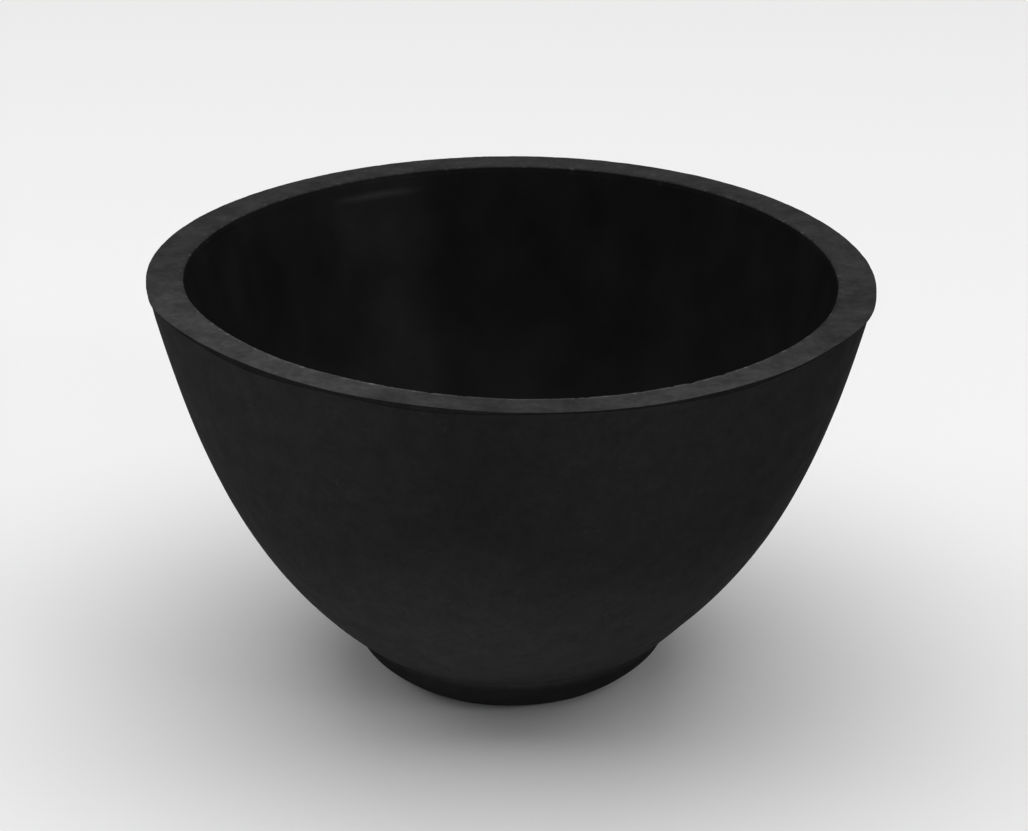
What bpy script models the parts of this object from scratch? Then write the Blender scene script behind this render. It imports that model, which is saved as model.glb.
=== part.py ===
"""Flexible rubber bowl for mixing hair colour.

Metres, +Z up. The bowl stands on z = 0 and its axis is the Z axis. It is built from three turned
rubber pieces: the cup, the flat ring that forms its mouth, and the ring that it stands on. The mouth
ring holds by a bulb pressed into a groove, and the foot ring by a bead on a short spigot.
"""
import math

import bmesh
import bpy

MM = 0.001

# Driving dimensions
HEIGHT = 77.0 * MM  # from the bench to the flat face of the rim
RIM_RADIUS = 65.0 * MM  # outer edge of the rim
RIM_WIDTH = 6.6 * MM  # flat face of the rim, along the radius
RIM_DEPTH = 1.0 * MM  # thickness of the rim ring above its seat
RIM_LIP = 0.15 * MM  # how far the rim ring stands proud of the wall
WALL_LEAN = math.radians(13.3)  # flare of the wall at the rim, from vertical
CREASE_RADIUS = 29.8 * MM  # where the wall meets the foot
CREASE_RISE = math.radians(39.6)  # slope of the wall there, from horizontal
FOOT_HEIGHT = 8.8 * MM  # from the bench to the crease
FOOT_TOP_RADIUS = 29.0 * MM
FOOT_CONTACT_RADIUS = 21.5 * MM  # outer edge of the face that the bowl stands on
FLOOR_HEIGHT = 9.0 * MM  # lowest point of the inside, above the bench
GAP = 0.3 * MM  # clearance between pieces

# How full the curves are: lengths of the handles at each end of a curve
OUTER_RIM_HANDLE = 27.3 * MM
OUTER_CREASE_HANDLE = 27.9 * MM
INNER_LEAN = math.radians(11.5)
INNER_RIM_HANDLE = 17.0 * MM
INNER_FLOOR_HANDLE = 43.5 * MM
FOOT_LEAN = math.radians(-12.0)  # the foot bulges below its top edge
FOOT_TOP_HANDLE = 3.5 * MM
FOOT_CONTACT_HANDLE = 1.0 * MM

# Joint between the cup and the rim ring
BULB_NECK = 0.7 * MM  # half the thickness of the tongue
BULB_RADIUS = 1.2 * MM
BULB_DEPTH = 2.6 * MM  # from the rim ring's seat to the middle of the bulb

# Joint between the cup and the foot ring
SPIGOT_RADIUS = 15.0 * MM
SPIGOT_RECESS = 1.5 * MM  # the spigot ends this far above the bench
BEAD_RADIUS = 0.8 * MM
BEAD_HEIGHT = 5.0 * MM

# Edges and fineness
EDGE = 0.3 * MM  # small round on the rim's two edges
FOOT_EDGE = 0.5 * MM  # rounds on the foot's top edge, its bore and the spigot
TURN_STEPS = 72
WALL_STEPS = 11
INNER_STEPS = 12
FOOT_STEPS = 5
BULB_STEPS = 6
BEAD_STEPS = 3
EDGE_STEPS = 2
SHARP_ANGLE = math.radians(35.0)
MERGE_DISTANCE = 0.001 * MM

# Finish of each rubber: how light its grey is, and its roughness
WALL_RUBBER = (0.012, 0.6)
BUFFED_RUBBER = (0.035, 0.85)
FOOT_RUBBER = (0.008, 0.65)

# Levels that follow from the dimensions
LEAN_SLOPE = math.tan(WALL_LEAN)
SEAT = HEIGHT - RIM_DEPTH  # underside of the rim ring
CUP_TOP = SEAT - GAP


def curve(start, start_handle, end_handle, end, steps):
    """Points of a cubic curve in (radius, height), both ends included."""
    points = []
    for i in range(steps + 1):
        t = i / steps
        weights = ((1 - t) ** 3, 3 * t * (1 - t) ** 2, 3 * t ** 2 * (1 - t), t ** 3)
        corners = (start, start_handle, end_handle, end)
        points.append(tuple(sum(w * c[k] for w, c in zip(weights, corners)) for k in (0, 1)))
    return points


def arc(centre, radius, start, end, steps):
    """Points of an arc in (radius, height); angles in radians, 0 pointing away from the axis."""
    points = []
    for i in range(steps + 1):
        angle = start + (end - start) * i / steps
        points.append((centre[0] + radius * math.cos(angle), centre[1] + radius * math.sin(angle)))
    return points


def down_the_wall(point, angle, distance):
    """A point further down a line that leans towards the axis by angle from vertical."""
    return (point[0] - distance * math.sin(angle), point[1] - distance * math.cos(angle))


def rim_outside(height):
    """Radius of the rim ring's outer side at a height."""
    return RIM_RADIUS - (HEIGHT - height) * LEAN_SLOPE


def rim_inside(height):
    """Radius of the bowl's mouth at a height, within the depth of the rim ring."""
    return rim_outside(height) - RIM_WIDTH


def bulb_outline(extra, height):
    """Tongue or groove, from its outer root at a height, round the bulb, to its inner root."""
    middle = (rim_outside(SEAT) + rim_inside(SEAT)) / 2
    centre = down_the_wall((middle, SEAT), WALL_LEAN, BULB_DEPTH)
    neck = BULB_NECK + extra
    radius = BULB_RADIUS + extra
    half_open = math.asin(neck / radius)
    upwards = math.pi / 2 - WALL_LEAN
    bulb = arc(centre, radius, upwards - half_open, upwards + half_open - 2 * math.pi, BULB_STEPS)
    root = middle - (SEAT - height) * LEAN_SLOPE
    half_root = neck / math.cos(WALL_LEAN)
    return [(root + half_root, height)] + bulb + [(root - half_root, height)]


def bead_outline(extra):
    """Bead on the spigot, or its groove in the foot ring's bore, from top to bottom."""
    reach = math.acos(extra / (BEAD_RADIUS + extra))
    return arc((SPIGOT_RADIUS, BEAD_HEIGHT), BEAD_RADIUS + extra, reach, -reach, BEAD_STEPS)


def cup_outline():
    """Open outline from the floor of the bowl, over the rim, down to the middle of the underside."""
    mouth = (rim_inside(CUP_TOP), CUP_TOP)
    floor = (0.0, FLOOR_HEIGHT)
    inner = curve(floor, (INNER_FLOOR_HANDLE, FLOOR_HEIGHT),
                  down_the_wall(mouth, INNER_LEAN, INNER_RIM_HANDLE), mouth, INNER_STEPS)
    groove = list(reversed(bulb_outline(GAP, CUP_TOP)))
    shoulder = (rim_outside(CUP_TOP) - RIM_LIP, CUP_TOP)
    crease = (CREASE_RADIUS, FOOT_HEIGHT)
    above_crease = (crease[0] + OUTER_CREASE_HANDLE * math.cos(CREASE_RISE),
                    crease[1] + OUTER_CREASE_HANDLE * math.sin(CREASE_RISE))
    outer = curve(shoulder, down_the_wall(shoulder, WALL_LEAN, OUTER_RIM_HANDLE),
                  above_crease, crease, WALL_STEPS)
    spigot_top = [(SPIGOT_RADIUS, FOOT_HEIGHT)]
    spigot_end = arc((SPIGOT_RADIUS - FOOT_EDGE, SPIGOT_RECESS + FOOT_EDGE), FOOT_EDGE,
                     0.0, -math.pi / 2, EDGE_STEPS)
    underside = [(0.0, SPIGOT_RECESS)]
    return inner + groove + outer + spigot_top + bead_outline(0.0) + spigot_end + underside


def rim_outline():
    """Closed outline of the rim ring, down its outer side first."""
    outer_edge = arc((RIM_RADIUS - EDGE, HEIGHT - EDGE), EDGE, math.pi / 2, 0.0, EDGE_STEPS)
    inner_edge = arc((RIM_RADIUS - RIM_WIDTH + EDGE, HEIGHT - EDGE), EDGE,
                     math.pi, math.pi / 2, EDGE_STEPS)
    foot = [(rim_outside(SEAT), SEAT)]
    heel = [(rim_inside(SEAT), SEAT)]
    return outer_edge + foot + bulb_outline(0.0, SEAT) + heel + inner_edge


def foot_outline():
    """Closed outline of the foot ring, down its outer side first."""
    top = FOOT_HEIGHT - GAP
    bore = SPIGOT_RADIUS + GAP
    top_edge = arc((FOOT_TOP_RADIUS - FOOT_EDGE, top - FOOT_EDGE), FOOT_EDGE,
                   math.pi / 2, 0.0, EDGE_STEPS)
    side_top = (FOOT_TOP_RADIUS, top - FOOT_EDGE)
    contact = (FOOT_CONTACT_RADIUS, 0.0)
    side = curve(side_top, down_the_wall(side_top, FOOT_LEAN, FOOT_TOP_HANDLE),
                 (FOOT_CONTACT_RADIUS + FOOT_CONTACT_HANDLE, 0.0), contact, FOOT_STEPS)
    bore_edge = arc((bore + FOOT_EDGE, FOOT_EDGE), FOOT_EDGE, -math.pi / 2, -math.pi, EDGE_STEPS)
    groove = list(reversed(bead_outline(GAP)))
    return top_edge + side[1:] + bore_edge + groove + [(bore, top)]


def turned(name, outline, closed, finish):
    """Object made by turning an outline round the Z axis."""
    mesh = bpy.data.meshes.new(name)
    work = bmesh.new()
    corners = [work.verts.new((radius, 0.0, height)) for radius, height in outline]
    edges = [work.edges.new(pair) for pair in zip(corners, corners[1:])]
    if closed:
        edges.append(work.edges.new((corners[-1], corners[0])))
    bmesh.ops.spin(work, geom=corners + edges, cent=(0.0, 0.0, 0.0), axis=(0.0, 0.0, 1.0),
                   angle=2 * math.pi, steps=TURN_STEPS, use_merge=True)
    bmesh.ops.remove_doubles(work, verts=work.verts, dist=MERGE_DISTANCE)
    bmesh.ops.recalc_face_normals(work, faces=work.faces)
    work.to_mesh(mesh)
    work.free()
    mesh.shade_smooth()
    mesh.set_sharp_from_angle(angle=SHARP_ANGLE)
    mesh.materials.append(finish)
    piece = bpy.data.objects.new(name, mesh)
    bpy.context.scene.collection.objects.link(piece)
    return piece


def rubber(name, finish_values):
    """Material of one rubber."""
    grey, roughness = finish_values
    finish = bpy.data.materials.new(name)
    finish.use_nodes = True
    shader = finish.node_tree.nodes["Principled BSDF"]
    shader.inputs["Base Color"].default_value = (grey, grey, grey, 1.0)
    shader.inputs["Roughness"].default_value = roughness
    shader.inputs["Metallic"].default_value = 0.0
    return finish


def build():
    """Clears the scene and makes the three pieces under one empty."""
    for item in list(bpy.data.objects):
        bpy.data.objects.remove(item, do_unlink=True)
    bowl = bpy.data.objects.new("bowl", None)
    bpy.context.scene.collection.objects.link(bowl)
    pieces = (
        turned("bowl_shell", cup_outline(), False, rubber("wall_rubber", WALL_RUBBER)),
        turned("rim_ring", rim_outline(), True, rubber("buffed_rubber", BUFFED_RUBBER)),
        turned("foot_ring", foot_outline(), True, rubber("foot_rubber", FOOT_RUBBER)),
    )
    for piece in pieces:
        piece.parent = bowl


build()
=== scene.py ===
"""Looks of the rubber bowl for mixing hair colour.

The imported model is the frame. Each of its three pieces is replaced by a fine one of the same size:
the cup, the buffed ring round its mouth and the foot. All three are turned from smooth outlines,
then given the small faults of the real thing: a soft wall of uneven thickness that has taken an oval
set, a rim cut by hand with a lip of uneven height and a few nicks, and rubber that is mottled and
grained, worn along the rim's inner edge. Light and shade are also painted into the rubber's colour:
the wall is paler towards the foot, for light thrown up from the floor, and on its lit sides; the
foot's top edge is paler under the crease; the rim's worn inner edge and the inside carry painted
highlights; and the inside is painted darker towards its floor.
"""
import math

import bmesh
import bpy
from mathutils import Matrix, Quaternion, Vector, noise


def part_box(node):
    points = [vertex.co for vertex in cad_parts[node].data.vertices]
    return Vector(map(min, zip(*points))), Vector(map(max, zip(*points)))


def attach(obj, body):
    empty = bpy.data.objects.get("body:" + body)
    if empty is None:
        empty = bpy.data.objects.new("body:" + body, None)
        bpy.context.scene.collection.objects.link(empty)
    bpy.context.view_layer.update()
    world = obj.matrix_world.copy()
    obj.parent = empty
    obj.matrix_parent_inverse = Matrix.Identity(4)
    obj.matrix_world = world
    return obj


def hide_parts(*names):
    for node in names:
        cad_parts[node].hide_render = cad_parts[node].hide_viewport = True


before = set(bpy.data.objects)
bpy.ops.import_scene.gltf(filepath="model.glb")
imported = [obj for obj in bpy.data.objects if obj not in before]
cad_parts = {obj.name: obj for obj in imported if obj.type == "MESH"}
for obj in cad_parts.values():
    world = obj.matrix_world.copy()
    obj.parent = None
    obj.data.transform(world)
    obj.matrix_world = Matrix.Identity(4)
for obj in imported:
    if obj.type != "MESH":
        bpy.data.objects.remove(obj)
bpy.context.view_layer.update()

MM = 0.001

# Sizes read from the frame
SHELL_LOW, SHELL_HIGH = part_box("bowl_shell")
RIM_LOW, RIM_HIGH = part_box("rim_ring")
HEIGHT = RIM_HIGH.z
RIM_RADIUS = (RIM_HIGH.x - RIM_LOW.x) / 2
CUP_TOP = SHELL_HIGH.z
SPIGOT_END = SHELL_LOW.z
FOOT_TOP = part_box("foot_ring")[1].z

# Sizes inside those boxes, as in the model
GAP = 0.3 * MM
RIM_WIDTH = 6.6 * MM
WALL_LEAN = math.radians(13.3)
CREASE_RADIUS = 29.8 * MM
CREASE_RISE = math.radians(39.6)
FOOT_TOP_RADIUS = 29.0 * MM
FOOT_CONTACT_RADIUS = 21.5 * MM
FLOOR_HEIGHT = 9.0 * MM
OUTER_RIM_HANDLE = 27.3 * MM
OUTER_CREASE_HANDLE = 27.9 * MM
INNER_LEAN = math.radians(11.5)
INNER_RIM_HANDLE = 17.0 * MM
INNER_FLOOR_HANDLE = 43.5 * MM
FOOT_LEAN = math.radians(-12.0)
FOOT_TOP_HANDLE = 3.5 * MM
FOOT_CONTACT_HANDLE = 1.0 * MM
BULB_NECK = 0.7 * MM
BULB_RADIUS = 1.2 * MM
BULB_DEPTH = 2.6 * MM
SPIGOT_RADIUS = 15.0 * MM
BEAD_RADIUS = 0.8 * MM
BEAD_HEIGHT = 5.0 * MM
INNER_EDGE = 0.25 * MM
WORN_HIGHLIGHT_WIDTH = 0.40 * MM  # strip along the rim's inner edge, worn and paler, with a painted highlight
OUTER_EDGE = 0.12 * MM
FOOT_EDGE = 0.6 * MM
SHOULDER = 0.05 * MM  # how far the wall stands back under the rim ring
SHOULDER_EDGE = 0.15 * MM
GATE_RADIUS = 2.2 * MM  # mark left under the spigot where the rubber was injected
GATE_HEIGHT = 0.25 * MM
MEET = 0.02 * MM  # the fine pieces close the frame's clearances down to this
SEAT = CUP_TOP + GAP
CUP_REST = SEAT - MEET
CREASE_HEIGHT = FOOT_TOP + GAP
LEAN_SLOPE = math.tan(WALL_LEAN)

# Bands of finish on a piece
SMOOTH, MOULDED = 0, 1
# The worn band along the rim's inner edge also carries a painted highlight
BUFFED, CUT, INNER, WORN_HIGHLIGHT = 0, 1, 2, 3

# The set that the soft wall has taken: a size, and the bearing from +X where it is greatest
OVAL = (0.71 * MM, math.radians(-43.8))
TRIANGLE = (0.12 * MM, math.radians(-46.6))
SQUARE = (0.20 * MM, math.radians(-3.6))
SADDLE = (0.31 * MM, math.radians(51.9))
SET_FADE = 1.5  # how fast the set fades towards the foot
SIDEWAYS = -0.14 * MM  # how far the lower wall leans to one side, at most
SIDEWAYS_AT = 14.0 * MM  # height where it leans most
SIDEWAYS_REACH = 22.0 * MM
FOOT_ASIDE = 0.32 * MM  # how far the foot sits to one side of the cup
# Where the bowl is fuller round the crease: (bearing, half its spread, outward shift)
CREASE_SWELLS = ((math.radians(330.0), math.radians(48.0), 0.60 * MM),)
CREASE_REACH = 7.5 * MM  # how far above and below the crease it is fuller

# The lip that the cutter left round the rim: (bearing, half its spread, extra height)
LIP_HEIGHT = 0.32 * MM
LIP_SWELLS = (
    (math.radians(229.0), math.radians(17.0), 0.45 * MM),
    (math.radians(257.0), math.radians(18.0), 0.55 * MM),
    (math.radians(304.0), math.radians(13.0), 0.36 * MM),
    (math.radians(20.0), math.radians(30.0), 0.20 * MM),
    (math.radians(120.0), math.radians(35.0), 0.25 * MM),
)
# Where the cutter ran in (-) or out (+) at the lip's top edge: (bearing, half its spread, distance)
LIP_CUTS = (
    (math.radians(197.0), math.radians(9.0), 0.26 * MM),
    (math.radians(226.0), math.radians(24.0), -0.75 * MM),
    (math.radians(252.0), math.radians(22.0), -0.40 * MM),
    (math.radians(303.0), math.radians(18.0), -0.50 * MM),
    (math.radians(340.5), math.radians(13.0), 0.52 * MM),
    (math.radians(357.0), math.radians(22.0), 0.15 * MM),
)
CUT_REACH = 3.0 * MM  # how far across the face such a cut is felt
# Where the wall's top is thinner or thicker: (bearing, half its spread, outward shift of that side)
OUTSIDE_SWELLS = (
    (math.radians(198.0), math.radians(14.0), 0.22 * MM),
    (math.radians(212.0), math.radians(16.0), -0.18 * MM),
    (math.radians(321.0), math.radians(20.0), -0.50 * MM),
)
INSIDE_SWELLS = (
    (math.radians(213.0), math.radians(22.0), -0.35 * MM),
    (math.radians(279.0), math.radians(42.0), 0.70 * MM),
    (math.radians(336.0), math.radians(16.0), 0.10 * MM),
)
SWELL_REACH = 18.0 * MM  # how far down the wall they are felt
LIP_UNDERCUT = 0.12 * MM
LIP_RAGGED = 600.0  # waves per metre along the rim
LIP_RAGGED_HEIGHT = 0.06 * MM
LIFT_REACH = 3.0 * MM  # how far down the wall the uneven lip is felt

# Nicks in the rim's inner edge: (bearing, half its width, depth)
NICKS = (
    (math.radians(291.0), 0.5 * MM, 0.09 * MM),
    (math.radians(300.0), 1.1 * MM, 0.15 * MM),
    (math.radians(306.5), 0.7 * MM, 0.10 * MM),
    (math.radians(250.0), 0.8 * MM, 0.08 * MM),
    (math.radians(262.0), 0.4 * MM, 0.10 * MM),
    (math.radians(163.0), 1.3 * MM, 0.16 * MM),
    (math.radians(78.0), 0.8 * MM, 0.12 * MM),
    (math.radians(20.0), 0.7 * MM, 0.10 * MM),
)
NICK_REACH = 0.8 * MM
NICK_RAGGED = 900.0  # waves per metre of the small tears between them
NICK_RAGGED_START = 0.35  # only the waves above this level tear the edge
NICK_RAGGED_DEPTH = 0.25 * MM

# Unevenness of the surfaces: (waves per metre, depth)
WALL_WAVES = ((45.0, 0.10 * MM), (160.0, 0.025 * MM))
FACE_WAVES = ((260.0, 0.05 * MM), (1100.0, 0.03 * MM))
FOOT_WAVES = ((80.0, 0.06 * MM),)

# Fineness of the meshes: steps along the outlines, then round the axis
CURVE_STEPS = 84
FOOT_STEPS = 30
BULB_STEPS = 18
BEAD_STEPS = 10
EDGE_STEPS = 5
OUTER_EDGE_STEPS = 3
FOOT_EDGE_STEPS = 6
SEAT_STEPS = 4
LIP_STEPS = 4
HEEL_STEPS = 3
FACE_STEPS = 16
UNDERSIDE_STEPS = 6
FOOT_TOP_STEPS = 8
CUP_TURN = 360
RIM_TURN = 1440
FOOT_TURN = 288
SHARP_ANGLE = math.radians(45.0)

# Textures: (waves per metre, layers of finer detail)
BLOTCHES = (260.0, 4.0)
BROAD = (22.0, 2.0)
FINE = (900.0, 4.0)
SPECKS = (1100.0, 0.0)
PORES = (2600.0, 2.0)
SMEARS = (110.0, 4.0)
SMEAR_STRETCH = 0.7  # waves up the wall, against waves round it
SKIN = (1400.0, 1.0)
RIM_BLOTCHES = (170.0, 6.0)
RIM_GRAIN = (700.0, 4.0)
RIM_SPOTS = (950.0, 2.0)

# What a texture does between two of its levels: (level, level, value there, value there)
BLOTCH_MIX = (0.32, 0.68, 0.0, 1.0)
SMEAR_MIX = (0.35, 0.70, 0.0, 1.0)
SPECK_PALE = (0.78, 0.84, 1.0, 1.35)
FINE_PALE = (0.3, 0.7, 0.90, 1.10)
RIM_GRAIN_PALE = (0.30, 0.70, 0.84, 1.16)
MOULDED_ROUGHNESS = (0.3, 0.7, 0.80, 0.70)
SMOOTH_ROUGHNESS = (0.30, 0.72, 0.39, 0.33)
BUFFED_ROUGHNESS = (0.3, 0.7, 0.95, 0.80)
# The levels alone, where the values differ from rubber to rubber
SPOT_LEVELS = (0.56, 0.74)
BROAD_LEVELS = (0.3, 0.7)

# Depths of the textures
FINE_DEPTH = 0.02 * MM
PORE_DEPTH = 0.012 * MM
SKIN_DEPTH = 0.006 * MM
RIM_GRAIN_DEPTH = 0.04 * MM
RIM_PORE_DEPTH = 0.02 * MM

# Tones of the rubbers: (darkest grey, lightest grey, how much they shine)
INSIDE_TONES = (0.0098, 0.0152, 0.06)
WALL_TONES = (0.0230, 0.0267, 0.01)
FACE_TONES = (0.0235, 0.0375, 0.04)
# The rim's worn inner edge: its paler spots and paler front are a painted highlight
WORN_HIGHLIGHT_TONES = (0.0200, 0.0330, 0.04)
CUT_TONES = (0.0070, 0.0095, 0.01)
FOOT_TONES = (0.0085, 0.0111, 0.02)
FACE_SPOTTED = 1.25  # how much paler the small spots are
WORN_HIGHLIGHT_SPOTTED = 2.2

# Painted light on a rubber by height: (lower height, upper height, how pale it is above them, against
# below)
# The wall is painted paler towards the foot, standing in for light thrown up from the floor
WALL_PAINTED_LIGHT = (12.0 * MM, 52.0 * MM, 0.373)
# The foot's top edge is painted paler, light that lifts the shade under the crease
FOOT_PAINTED_LIGHT = (FOOT_TOP - 1.3 * MM, FOOT_TOP - 0.1 * MM, 2.0)
NO_PAINTED_LIGHT = (0.0, HEIGHT, 1.0)
PAINTED_LIGHT_UNEVEN = 0.0625  # how uneven those heights are, as a share of their distance

INSIDE_DEEP_SHADE = 0.5  # how pale the inside is at its floor, against its mouth: painted shade deep in the bowl

# Paler parts round a surface: (bearing, half their spread, how much paler)
RIM_PALE = (
    (math.radians(222.0), math.radians(42.0), 0.52),
    (math.radians(304.0), math.radians(24.0), 0.42),
)
# Along the worn inner edge, these and a paler front are a painted highlight
EDGE_HIGHLIGHT_PALE = RIM_PALE + ((math.radians(268.0), math.radians(62.0), 0.75),)
# The wall's paler sides are painted light where the side lamps fall
WALL_LIT_SIDES = (
    (math.radians(216.0), math.radians(46.0), 0.48),
    (math.radians(301.0), math.radians(34.0), 0.30),
    (math.radians(95.0), math.radians(70.0), 0.20),
)
# A paler band on the inside: a painted reflection of a lamp
INSIDE_HIGHLIGHT_PALE = (
    (math.radians(119.0), math.radians(13.0), 0.30),
)
# Painted highlights on the inside, reflections of the lamps: (bearing, half its spread, height, half its
# height, how much paler)
INSIDE_HIGHLIGHTS = (
    (math.radians(117.0), math.radians(10.0), 73.4 * MM, 1.0 * MM, 1.4),
    (math.radians(115.0), math.radians(13.0), 68.0 * MM, 10.0 * MM, 0.6),
)

# Stage
FLOOR_HALF = 3.0  # half its side
FLOOR_SQUARES = 8  # along each side
FLOOR_GREY = 0.92
WORLD_STRENGTH = 0.02
CAMERA_LENS = 103.1
CAMERA_DISTANCE = 8.158 * RIM_RADIUS
CAMERA_RISE = math.radians(20.47)
CAMERA_AIM_SIDE = 0.77 * MM
CAMERA_AIM_HEIGHT = 48.6 * MM
CAMERA_ROLL = math.radians(0.29)
SENSOR_WIDTH = 36.0

# Soft lights: (name, place, width, height, power), all turned towards the middle of the bowl
SOFTBOXES = (
    ("top_softbox", (0.0, 0.15, 1.5), 2.0, 2.0, 25.0),
    ("left_softbox", (-1.0, 0.1, 0.8), 0.8, 0.6, 2.8),
    ("right_softbox", (1.0, 0.1, 0.8), 0.8, 0.6, 2.3),
    ("low_front_card", (0.0, -0.6, 0.036), 0.5, 0.07, 0.8),
    ("low_left_card", (-0.32, -0.38, 0.036), 0.3, 0.07, 0.55),
    ("front_softbox", (0.0, -1.0, 1.0), 0.8, 0.6, 1.2),
    ("inside_softbox", (0.80, -0.67, 0.64), 0.25, 0.16, 0.8),
    ("inside_strip", (0.92, -0.77, 0.14), 0.30, 0.05, 0.3),
)


# ---------------------------------------------------------------- outlines

def curve(start, start_handle, end_handle, end, steps):
    """Points of a cubic curve in (radius, height), both ends included."""
    points = []
    for i in range(steps + 1):
        t = i / steps
        weights = ((1 - t) ** 3, 3 * t * (1 - t) ** 2, 3 * t ** 2 * (1 - t), t ** 3)
        corners = (start, start_handle, end_handle, end)
        points.append(tuple(sum(w * c[k] for w, c in zip(weights, corners)) for k in (0, 1)))
    return points


def arc(centre, radius, start, end, steps):
    """Points of an arc in (radius, height); angles in radians, 0 pointing away from the axis."""
    points = []
    for i in range(steps + 1):
        angle = start + (end - start) * i / steps
        points.append((centre[0] + radius * math.cos(angle), centre[1] + radius * math.sin(angle)))
    return points


def line(start, end, steps):
    """Points along a straight line, without its two ends."""
    return [(start[0] + (end[0] - start[0]) * i / steps, start[1] + (end[1] - start[1]) * i / steps)
            for i in range(1, steps)]


def down_the_wall(point, angle, distance):
    """A point further down a line that leans towards the axis by angle from vertical."""
    return (point[0] - distance * math.sin(angle), point[1] - distance * math.cos(angle))


def rim_outside(height):
    """Radius of the rim ring's outer side at a height."""
    return RIM_RADIUS - (HEIGHT - height) * LEAN_SLOPE


def rim_inside(height):
    """Radius of the bowl's mouth at a height, within the depth of the rim ring."""
    return rim_outside(height) - RIM_WIDTH


def bulb_outline(extra, height):
    """Tongue or groove, from its outer root at a height, round the bulb, to its inner root."""
    middle = (rim_outside(SEAT) + rim_inside(SEAT)) / 2
    centre = down_the_wall((middle, SEAT), WALL_LEAN, BULB_DEPTH)
    neck = BULB_NECK + extra
    radius = BULB_RADIUS + extra
    half_open = math.asin(neck / radius)
    upwards = math.pi / 2 - WALL_LEAN
    bulb = arc(centre, radius, upwards - half_open, upwards + half_open - 2 * math.pi, BULB_STEPS)
    root = middle - (SEAT - height) * LEAN_SLOPE
    half_root = neck / math.cos(WALL_LEAN)
    return [(root + half_root, height)] + bulb + [(root - half_root, height)]


def bead_outline(extra):
    """Bead on the spigot, or its groove in the foot's bore, from top to bottom."""
    reach = math.acos(extra / (BEAD_RADIUS + extra))
    return arc((SPIGOT_RADIUS, BEAD_HEIGHT), BEAD_RADIUS + extra, reach, -reach, BEAD_STEPS)


def cup_outline():
    """Open outline of the cup in bands: inside, groove for the rim ring, outside, underside."""
    mouth = (rim_inside(CUP_REST), CUP_REST)
    inside = curve((0.0, FLOOR_HEIGHT), (INNER_FLOOR_HANDLE, FLOOR_HEIGHT),
                   down_the_wall(mouth, INNER_LEAN, INNER_RIM_HANDLE), mouth, CURVE_STEPS)
    groove = bulb_outline(GAP, CUP_REST)
    groove.reverse()
    shoulder = (rim_outside(CUP_REST) - SHOULDER, CUP_REST)
    top = line(groove[-1], shoulder, SEAT_STEPS)
    crease = (CREASE_RADIUS, CREASE_HEIGHT)
    above_crease = (crease[0] + OUTER_CREASE_HANDLE * math.cos(CREASE_RISE),
                    crease[1] + OUTER_CREASE_HANDLE * math.sin(CREASE_RISE))
    wall_top = down_the_wall(shoulder, WALL_LEAN, SHOULDER_EDGE)
    outside = [shoulder] + curve(wall_top, down_the_wall(wall_top, WALL_LEAN, OUTER_RIM_HANDLE),
                                 above_crease, crease, CURVE_STEPS)
    spigot_root = (SPIGOT_RADIUS, CREASE_HEIGHT)
    seat = line(crease, spigot_root, UNDERSIDE_STEPS) + [spigot_root]
    spigot = bead_outline(0.0) + arc((SPIGOT_RADIUS - FOOT_EDGE, SPIGOT_END + FOOT_EDGE), FOOT_EDGE,
                                     0.0, -math.pi / 2, EDGE_STEPS)
    gate = [(GATE_RADIUS + GATE_HEIGHT, SPIGOT_END), (GATE_RADIUS, SPIGOT_END - GATE_HEIGHT),
            (0.0, SPIGOT_END - GATE_HEIGHT)]
    underside = seat + spigot + line(spigot[-1], gate[0], UNDERSIDE_STEPS) + gate
    return [(SMOOTH, inside), (SMOOTH, groove + top), (MOULDED, outside), (MOULDED, underside)]


def rim_outline():
    """Closed outline of the rim ring in bands: worn edge with a painted highlight, buffed face, cut lip
    and tongue, inner side.
    """
    outer_edge = arc((RIM_RADIUS - OUTER_EDGE, HEIGHT - OUTER_EDGE), OUTER_EDGE,
                     math.pi / 2, 0.0, OUTER_EDGE_STEPS)
    inner_edge = arc((RIM_RADIUS - RIM_WIDTH + INNER_EDGE, HEIGHT - INNER_EDGE), INNER_EDGE,
                     math.pi, math.pi / 2, EDGE_STEPS)
    lip_foot = (rim_outside(SEAT) - LIP_UNDERCUT, SEAT)
    tongue = bulb_outline(0.0, SEAT)
    heel = (rim_inside(SEAT), SEAT)
    lip = line(outer_edge[-1], lip_foot, LIP_STEPS) + [lip_foot]
    under = line(lip_foot, tongue[0], SEAT_STEPS) + tongue + line(tongue[-1], heel, HEEL_STEPS)
    worn_highlight_end = (inner_edge[-1][0] + WORN_HIGHLIGHT_WIDTH, HEIGHT)
    face = line(worn_highlight_end, outer_edge[0], FACE_STEPS) + [outer_edge[0]]
    return [(WORN_HIGHLIGHT, inner_edge + [worn_highlight_end]), (BUFFED, face), (CUT, outer_edge[1:] + lip + under),
            (INNER, [heel])]


def foot_outline():
    """Closed outline of the foot in one band, down its outer side first."""
    top = CREASE_HEIGHT - MEET
    bore = SPIGOT_RADIUS + GAP
    top_edge = arc((FOOT_TOP_RADIUS - FOOT_EDGE, top - FOOT_EDGE), FOOT_EDGE,
                   math.pi / 2, 0.0, FOOT_EDGE_STEPS)
    contact = (FOOT_CONTACT_RADIUS, 0.0)
    side = curve(top_edge[-1], down_the_wall(top_edge[-1], FOOT_LEAN, FOOT_TOP_HANDLE),
                 (FOOT_CONTACT_RADIUS + FOOT_CONTACT_HANDLE, 0.0), contact, FOOT_STEPS)
    bore_edge = arc((bore + FOOT_EDGE, FOOT_EDGE), FOOT_EDGE, -math.pi / 2, -math.pi, EDGE_STEPS)
    groove = bead_outline(GAP)
    groove.reverse()
    outline = (top_edge + side[1:] + line(contact, bore_edge[0], UNDERSIDE_STEPS) + bore_edge + groove
               + [(bore, top)] + line((bore, top), top_edge[0], FOOT_TOP_STEPS))
    return [(MOULDED, outline)]


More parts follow.
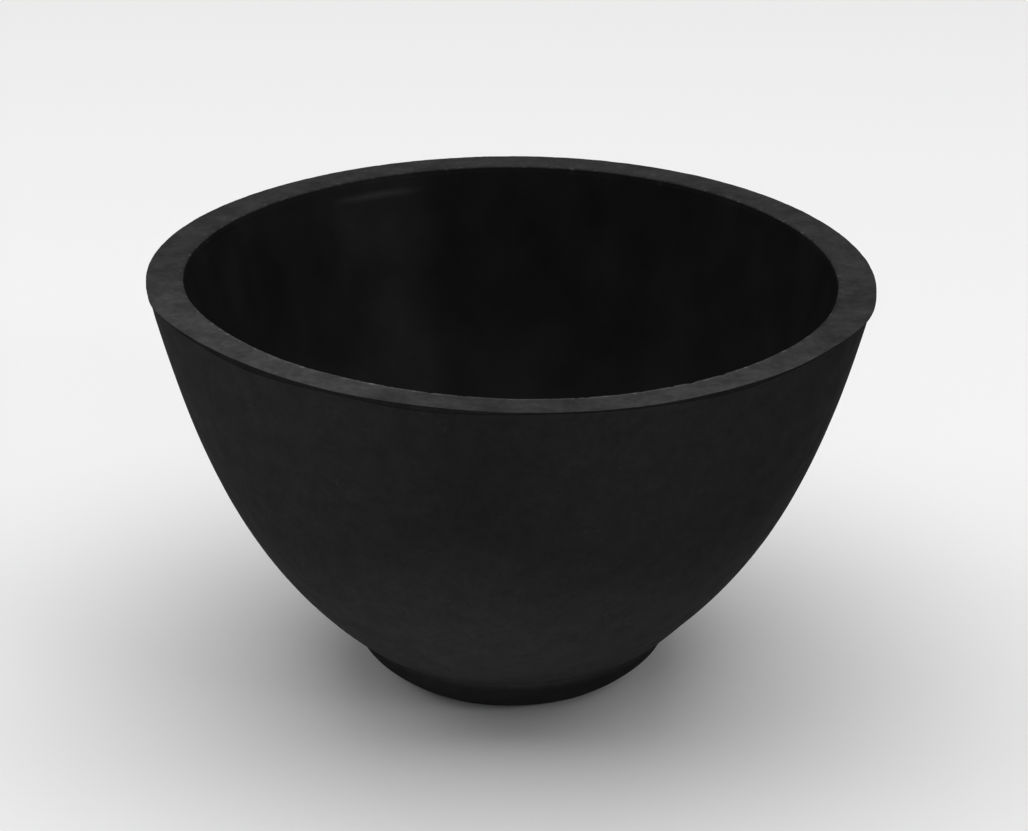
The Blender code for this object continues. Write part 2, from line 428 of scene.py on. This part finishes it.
# ---------------------------------------------------------------- the real bowl's faults

def smooth_step(value):
    """0 below 0, 1 above 1, and a smooth rise between."""
    value = min(max(value, 0.0), 1.0)
    return value * value * (3.0 - 2.0 * value)


def swell(bearing, centre, half_spread):
    """1 at the centre bearing, falling smoothly to 0 at the spread's ends."""
    away = abs(math.remainder(bearing - centre, 2 * math.pi))
    return smooth_step(1.0 - away / half_spread)


def swelled(bearing, swells):
    """Sum of swells of (bearing, half their spread, size) at a bearing."""
    return sum(size * swell(bearing, centre, spread) for centre, spread, size in swells)


def lip_height(bearing):
    """Height of the lip that shows below the rim's face at a bearing."""
    height = LIP_HEIGHT + swelled(bearing, LIP_SWELLS)
    return height + LIP_RAGGED_HEIGHT * noise.noise(on_rim(bearing) * LIP_RAGGED)


def on_rim(bearing):
    """Point of the rim's outer edge at a bearing."""
    return Vector((math.cos(bearing), math.sin(bearing), 0.0)) * RIM_RADIUS


def seam_lift(radius, bearing, height):
    """How far the seam under the rim ring rises where the lip is low, fading to nothing around it."""
    root = (rim_outside(SEAT) + rim_inside(SEAT)) / 2 + BULB_NECK
    outward = smooth_step((radius - root) / (RIM_RADIUS - root))
    if height > SEAT:
        fade = (HEIGHT - height) / (HEIGHT - SEAT)
    else:
        fade = 1.0 - (SEAT - height) / LIFT_REACH
    return (HEIGHT - SEAT - lip_height(bearing)) * outward * min(max(fade, 0.0), 1.0)


def outward_shift(radius, bearing, height):
    """How far the uneven thickness moves a point of the wall's top outwards."""
    fade = smooth_step(1.0 - (HEIGHT - height) / SWELL_REACH)
    across = smooth_step((radius - rim_inside(height)) / RIM_WIDTH)
    outer = swelled(bearing, OUTSIDE_SWELLS)
    inner = swelled(bearing, INSIDE_SWELLS)
    return (inner + (outer - inner) * across) * fade


def cut_shift(radius, bearing, height):
    """How far the uneven cut moves a point of the rim's face or lip outwards."""
    across = smooth_step(1.0 - (RIM_RADIUS - radius) / CUT_REACH)
    down = min(max((HEIGHT - height) / (HEIGHT - SEAT), 0.0), 1.0)
    return swelled(bearing, LIP_CUTS) * across * (1.0 - down)


def nick_depth(point, bearing):
    """How deep the nicks in the rim's inner edge are cut at a point."""
    across = (point.xy.length - (RIM_RADIUS - RIM_WIDTH)) / NICK_REACH
    down = (HEIGHT - point.z) / NICK_REACH
    near = 1.0 - math.hypot(max(across, 0.0), max(down, 0.0))
    if near <= 0.0:
        return 0.0
    depth = 0.0
    for centre, half_width, full_depth in NICKS:
        depth += full_depth * swell(bearing, centre, half_width / RIM_RADIUS)
    ragged = max(noise.noise(point * NICK_RAGGED) - NICK_RAGGED_START, 0.0) * NICK_RAGGED_DEPTH
    return (depth + ragged) * near


def settled(point):
    """Where a point of the perfectly round bowl lies on the real one."""
    share = min(max((point.z - CREASE_HEIGHT) / (HEIGHT - CREASE_HEIGHT), 0.0), 1.0)
    bearing = math.atan2(point.y, point.x)
    grow = sum(size * math.cos(waves_round * (bearing - greatest))
               for waves_round, (size, greatest) in ((2, OVAL), (3, TRIANGLE), (4, SQUARE)))
    rise = SADDLE[0] * math.cos(2 * (bearing - SADDLE[1]))
    near_crease = smooth_step(1.0 - abs(point.z - CREASE_HEIGHT) / CREASE_REACH)
    fuller = swelled(bearing, CREASE_SWELLS) * near_crease
    scale = 1.0 + share ** SET_FADE * grow / RIM_RADIUS + fuller / CREASE_RADIUS
    lean = SIDEWAYS * smooth_step(1.0 - abs(point.z - SIDEWAYS_AT) / SIDEWAYS_REACH)
    return Vector((point.x * scale + lean, point.y * scale, point.z + share * rise))


def move_out(point, distance):
    """Moves a point away from the axis."""
    radius = point.xy.length
    if radius > 0.0:
        point.xy *= 1.0 + distance / radius


# ---------------------------------------------------------------- meshes

def ring_of(work, point, turn):
    """Vertices of one outline point turned round the axis: a single one on the axis itself."""
    radius, height = point
    if radius == 0.0:
        return [work.verts.new((0.0, 0.0, height))]
    return [work.verts.new((radius * math.cos(2 * math.pi * i / turn),
                            radius * math.sin(2 * math.pi * i / turn), height)) for i in range(turn)]


def join_rings(work, upper, lower, turn, mark):
    """Faces between two rings of vertices."""
    for i in range(turn):
        corners = [upper[i % len(upper)], upper[(i + 1) % turn % len(upper)],
                   lower[(i + 1) % turn % len(lower)], lower[i % len(lower)]]
        corners = [corner for k, corner in enumerate(corners) if corner not in corners[:k]]
        work.faces.new(corners).material_index = mark


def turned_surface(bands, turn, closed):
    """Surface turned from banded outlines, each face marked with its band."""
    work = bmesh.new()
    outline = [(mark, point) for mark, points in bands for point in points]
    rings = [ring_of(work, point, turn) for mark, point in outline]
    for i in range(1, len(rings)):
        join_rings(work, rings[i - 1], rings[i], turn, outline[i][0])
    if closed:
        join_rings(work, rings[-1], rings[0], turn, outline[-1][0])
    bmesh.ops.recalc_face_normals(work, faces=work.faces)
    work.normal_update()
    return work


def turned(name, bands, turn, closed, faults, finishes):
    """A piece turned from banded outlines, with its faults and its finishes."""
    work = turned_surface(bands, turn, closed)
    places = [faults(vert.co, vert.normal) for vert in work.verts]
    for vert, place in zip(work.verts, places):
        vert.co = place
    mesh = bpy.data.meshes.new(name)
    work.to_mesh(mesh)
    work.free()
    mesh.shade_smooth()
    mesh.set_sharp_from_angle(angle=SHARP_ANGLE)
    for finish in finishes:
        mesh.materials.append(finish)
    piece = bpy.data.objects.new(name, mesh)
    bpy.context.scene.collection.objects.link(piece)
    return piece


def waves(point, sizes):
    """Uneven height of a surface at a point."""
    return sum(depth * noise.noise(point * pitch) for pitch, depth in sizes)


def cup_faults(point, normal):
    """The wall's unevenness and uneven thickness, its seam under the lip and its set."""
    bearing = math.atan2(point.y, point.x)
    radius = point.xy.length
    moved = point + normal * waves(point, WALL_WAVES)
    move_out(moved, outward_shift(radius, bearing, point.z))
    moved.z += seam_lift(radius, bearing, point.z)
    return settled(moved)


def rim_faults(point, normal):
    """The buffed face's unevenness, nicks and cut edge, the uneven thickness, the lip and the set."""
    bearing = math.atan2(point.y, point.x)
    radius = point.xy.length
    moved = point.copy()
    if point.z > SEAT:
        moved += normal * waves(point, FACE_WAVES)
        depth = nick_depth(point, bearing)
        move_out(moved, depth)
        moved.z -= depth
    move_out(moved, outward_shift(radius, bearing, point.z) + cut_shift(radius, bearing, point.z))
    moved.z += seam_lift(radius, bearing, point.z)
    return settled(moved)


def foot_faults(point, normal):
    """The foot's uneven side, and its place a little to one side. Its flat face stays flat."""
    moved = point + normal * waves(point, FOOT_WAVES) * min(point.z / FOOT_EDGE, 1.0)
    moved.z = max(moved.z, 0.0)
    return settled(moved) + Vector((FOOT_ASIDE, 0.0, 0.0))


# ---------------------------------------------------------------- finishes

def grey(level):
    """Neutral colour of one level."""
    return (level, level, level, 1.0)


def node(tree, kind, inputs, **settings):
    """A shader node, with its inputs linked or set."""
    made = tree.nodes.new(kind)
    for key, value in settings.items():
        setattr(made, key, value)
    for key, value in inputs.items():
        if isinstance(value, bpy.types.NodeSocket):
            tree.links.new(value, made.inputs[key])
        else:
            made.inputs[key].default_value = value
    return made


def grain(tree, place, texture):
    """Noise of (waves per metre, layers of finer detail)."""
    pitch, detail = texture
    inputs = {"Vector": place, "Scale": pitch, "Detail": detail}
    return node(tree, "ShaderNodeTexNoise", inputs).outputs["Fac"]


def remap(tree, value, low, high, new_low, new_high):
    """A value from low to high, moved to new_low to new_high and held there."""
    return node(tree, "ShaderNodeMapRange", {"Value": value, "From Min": low, "From Max": high,
                                             "To Min": new_low, "To Max": new_high}).outputs["Result"]


def calc(tree, operation, first, second=0.0):
    """One sum."""
    return node(tree, "ShaderNodeMath", {0: first, 1: second}, operation=operation).outputs["Value"]


def blend_colours(tree, share, first, second):
    """A colour between two."""
    mixed = node(tree, "ShaderNodeMix", {"Factor": share, "A": first, "B": second}, data_type="RGBA")
    return mixed.outputs[2]


def bumps(tree, layers):
    """Normal with layers of (height, depth in metres) added up."""
    normal = None
    for height, depth in layers:
        inputs = {"Height": height, "Strength": 1.0, "Distance": depth}
        if normal is not None:
            inputs["Normal"] = normal
        normal = node(tree, "ShaderNodeBump", inputs).outputs["Normal"]
    return normal


def start_finish(name, specular):
    """Material, its node tree, its shader and the piece's own coordinates."""
    finish = bpy.data.materials.new(name)
    finish.use_nodes = True
    tree = finish.node_tree
    shader = tree.nodes["Principled BSDF"]
    shader.inputs["Specular IOR Level"].default_value = specular
    place = tree.nodes.new("ShaderNodeTexCoord").outputs["Object"]
    return finish, tree, shader, place


def connect(tree, shader, colour, roughness, normal):
    """Links what varies over the surface to the shader."""
    tree.links.new(colour, shader.inputs["Base Color"])
    tree.links.new(roughness, shader.inputs["Roughness"])
    tree.links.new(normal, shader.inputs["Normal"])


def bearing_of(tree, place):
    """Bearing of a place round the axis."""
    parts = node(tree, "ShaderNodeSeparateXYZ", {"Vector": place}).outputs
    return calc(tree, "ARCTAN2", parts["Y"], parts["X"])


def height_of(tree, place):
    """Height of a place above the bench."""
    return node(tree, "ShaderNodeSeparateXYZ", {"Vector": place}).outputs["Z"]


def paler_parts(tree, bearing, parts):
    """How much paler the surface is at a bearing, from parts of (bearing, half their spread, extra)."""
    paler = calc(tree, "ADD", 1.0)
    for centre, half_spread, extra in parts:
        away = calc(tree, "COSINE", calc(tree, "SUBTRACT", bearing, centre))
        here = remap(tree, away, math.cos(half_spread), 1.0, 1.0, 1.0 + extra)
        paler = calc(tree, "MULTIPLY", here, paler)
    return paler


def scaled(tree, colour, *factors):
    """A colour made paler or darker by factors."""
    for factor in factors:
        inputs = {0: colour, "Scale": factor}
        colour = node(tree, "ShaderNodeVectorMath", inputs, operation="SCALE").outputs["Vector"]
    return colour


def painted_light(tree, place, height_light, pale_parts):
    """How pale the painted light by height and on the paler parts makes a rubber, its heights being
    uneven.
    """
    lower, upper, above = height_light
    uneven_by = (upper - lower) * PAINTED_LIGHT_UNEVEN
    broad = grain(tree, place, BROAD)
    shift = remap(tree, broad, *BROAD_LEVELS, -uneven_by, uneven_by)
    uneven = calc(tree, "ADD", height_of(tree, place), shift)
    # Painted light: paler or darker by height
    lit_by_height = remap(tree, uneven, lower, upper, 1.0, above)
    parts = paler_parts(tree, bearing_of(tree, place), pale_parts)
    # Painted light on the wall's lit sides
    lit_sides = calc(tree, "MULTIPLY", parts, min(above, 1.0))
    return calc(tree, "MAXIMUM", lit_by_height, lit_sides)


def moulded_rubber(name, tones, height_light=NO_PAINTED_LIGHT, pale_parts=()):
    """Matt moulded rubber: blotchy, finely grained, with painted light by height and on its paler parts.
    """
    dark, light, specular = tones
    finish, tree, shader, place = start_finish(name, specular)
    blotches = grain(tree, place, BLOTCHES)
    fine = grain(tree, place, FINE)
    colour = blend_colours(tree, remap(tree, blotches, *BLOTCH_MIX), grey(dark), grey(light))
    specks = remap(tree, grain(tree, place, SPECKS), *SPECK_PALE)
    grains = remap(tree, fine, *FINE_PALE)
    colour = scaled(tree, colour, painted_light(tree, place, height_light, pale_parts), specks, grains)
    roughness = remap(tree, blotches, *MOULDED_ROUGHNESS)
    pores = grain(tree, place, PORES)
    connect(tree, shader, colour, roughness, bumps(tree, ((fine, FINE_DEPTH), (pores, PORE_DEPTH))))
    return finish


def painted_highlight(tree, place, mark):
    """How much paler the inside is at a painted highlight."""
    bearing, half_spread, height, half_height, extra = mark
    along = calc(tree, "COSINE", calc(tree, "SUBTRACT", bearing_of(tree, place), bearing))
    across = calc(tree, "ABSOLUTE", calc(tree, "SUBTRACT", height_of(tree, place), height))
    share = calc(tree, "MULTIPLY", remap(tree, along, math.cos(half_spread), 1.0, 0.0, 1.0),
                 remap(tree, across, half_height, 0.0, 0.0, 1.0))
    return calc(tree, "ADD", calc(tree, "MULTIPLY", share, extra), 1.0)


def smooth_rubber(name, tones):
    """Satin inside of the bowl: faint upright smears, painted highlights, and painted shade that makes it
    darker lower down.
    """
    dark, light, specular = tones
    finish, tree, shader, place = start_finish(name, specular)
    stretch = {"Vector": place, "Scale": (1.0, 1.0, SMEAR_STRETCH)}
    stretched = node(tree, "ShaderNodeMapping", stretch).outputs["Vector"]
    smears = grain(tree, stretched, SMEARS)
    colour = blend_colours(tree, remap(tree, smears, *SMEAR_MIX), grey(dark), grey(light))
    # Painted shade: darker deeper in the bowl
    paler = remap(tree, height_of(tree, place), FLOOR_HEIGHT, HEIGHT, INSIDE_DEEP_SHADE, 1.0)
    # Painted highlights: a paler band and lamp reflections near the rear rim
    parts = paler_parts(tree, bearing_of(tree, place), INSIDE_HIGHLIGHT_PALE)
    highlights = [painted_highlight(tree, place, mark) for mark in INSIDE_HIGHLIGHTS]
    colour = scaled(tree, colour, paler, parts, *highlights)
    roughness = remap(tree, smears, *SMOOTH_ROUGHNESS)
    skin = grain(tree, place, SKIN)
    connect(tree, shader, colour, roughness, bumps(tree, ((skin, SKIN_DEPTH),)))
    return finish


def buffed_rubber(name, tones, spotted, pale_parts):
    """Rim ground flat: greyer, blotchy and coarsely grained, with small pale spots and paler parts."""
    dark, light, specular = tones
    finish, tree, shader, place = start_finish(name, specular)
    blotches = grain(tree, place, RIM_BLOTCHES)
    coarse = grain(tree, place, RIM_GRAIN)
    colour = blend_colours(tree, remap(tree, blotches, *BLOTCH_MIX), grey(dark), grey(light))
    grains = remap(tree, coarse, *RIM_GRAIN_PALE)
    spots = remap(tree, grain(tree, place, RIM_SPOTS), *SPOT_LEVELS, 1.0, spotted)
    colour = scaled(tree, colour, grains, spots, paler_parts(tree, bearing_of(tree, place), pale_parts))
    roughness = remap(tree, blotches, *BUFFED_ROUGHNESS)
    pores = grain(tree, place, PORES)
    layers = ((coarse, RIM_GRAIN_DEPTH), (pores, RIM_PORE_DEPTH))
    connect(tree, shader, colour, roughness, bumps(tree, layers))
    return finish


# ---------------------------------------------------------------- stage

def add_floor():
    """Plain pale floor."""
    work = bmesh.new()
    bmesh.ops.create_grid(work, x_segments=FLOOR_SQUARES, y_segments=FLOOR_SQUARES, size=FLOOR_HALF)
    mesh = bpy.data.meshes.new("floor")
    work.to_mesh(mesh)
    work.free()
    finish, _, shader, _ = start_finish("floor_paint", 0.0)
    shader.inputs["Base Color"].default_value = grey(FLOOR_GREY)
    shader.inputs["Roughness"].default_value = 1.0
    mesh.materials.append(finish)
    floor = bpy.data.objects.new("floor", mesh)
    bpy.context.scene.collection.objects.link(floor)


def add_softbox(name, place, width, height, power):
    """Rectangular soft light turned towards the middle of the bowl."""
    lamp = bpy.data.lights.new(name, "AREA")
    lamp.shape = "RECTANGLE"
    lamp.size = width
    lamp.size_y = height
    lamp.energy = power
    box = bpy.data.objects.new(name, lamp)
    box.location = place
    aim = Vector((0.0, 0.0, HEIGHT / 2))
    box.rotation_euler = (aim - Vector(place)).to_track_quat("-Z", "Y").to_euler()
    bpy.context.scene.collection.objects.link(box)


def add_world():
    """Dim, even white surroundings."""
    world = bpy.data.worlds.new("studio")
    world.use_nodes = True
    back = world.node_tree.nodes["Background"]
    back.inputs["Color"].default_value = grey(1.0)
    back.inputs["Strength"].default_value = WORLD_STRENGTH
    bpy.context.scene.world = world


def add_camera():
    """Long lens, a little above the bowl, very slightly rolled."""
    lens = bpy.data.cameras.new("camera")
    lens.lens = CAMERA_LENS
    lens.sensor_width = SENSOR_WIDTH
    camera = bpy.data.objects.new("camera", lens)
    rim_centre = Vector((0.0, 0.0, HEIGHT))
    place = rim_centre + CAMERA_DISTANCE * Vector((0.0, -math.cos(CAMERA_RISE), math.sin(CAMERA_RISE)))
    turn = (Vector((CAMERA_AIM_SIDE, 0.0, CAMERA_AIM_HEIGHT)) - place).to_track_quat("-Z", "Y")
    camera.location = place
    camera.rotation_euler = (turn @ Quaternion((0.0, 0.0, 1.0), CAMERA_ROLL)).to_euler()
    bpy.context.scene.collection.objects.link(camera)
    bpy.context.scene.camera = camera


bpy.context.scene.view_settings.view_transform = "Standard"
add_world()
add_floor()
add_camera()
for softbox in SOFTBOXES:
    add_softbox(*softbox)

# Inside, with painted highlights and painted shade towards its floor
inside = smooth_rubber("smooth_rubber", INSIDE_TONES)
# The wall, with painted light paler towards the foot and on its lit sides
outside = moulded_rubber("moulded_rubber", WALL_TONES, WALL_PAINTED_LIGHT, WALL_LIT_SIDES)
buffed = buffed_rubber("buffed_rubber", FACE_TONES, FACE_SPOTTED, RIM_PALE)
# Worn inner edge of the rim, with a painted highlight
worn_highlight_edge = buffed_rubber("worn_rubber_painted_highlight", WORN_HIGHLIGHT_TONES, WORN_HIGHLIGHT_SPOTTED, EDGE_HIGHLIGHT_PALE)
cut = moulded_rubber("cut_rubber", CUT_TONES)
# Foot, with painted light on its top edge under the crease
foot_finish = moulded_rubber("foot_rubber", FOOT_TONES, FOOT_PAINTED_LIGHT)

cup = turned("cup", cup_outline(), CUP_TURN, False, cup_faults, (inside, outside))
rim = turned("mouth_ring", rim_outline(), RIM_TURN, True, rim_faults, (buffed, cut, inside, worn_highlight_edge))
foot = turned("foot", foot_outline(), FOOT_TURN, True, foot_faults, (foot_finish, foot_finish))

for piece, cad_node, slot in ((cup, "bowl_shell", "wall_rubber"), (rim, "rim_ring", "buffed_rubber"),
                              (foot, "foot_ring", "foot_rubber")):
    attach(piece, "root")
    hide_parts(cad_node)
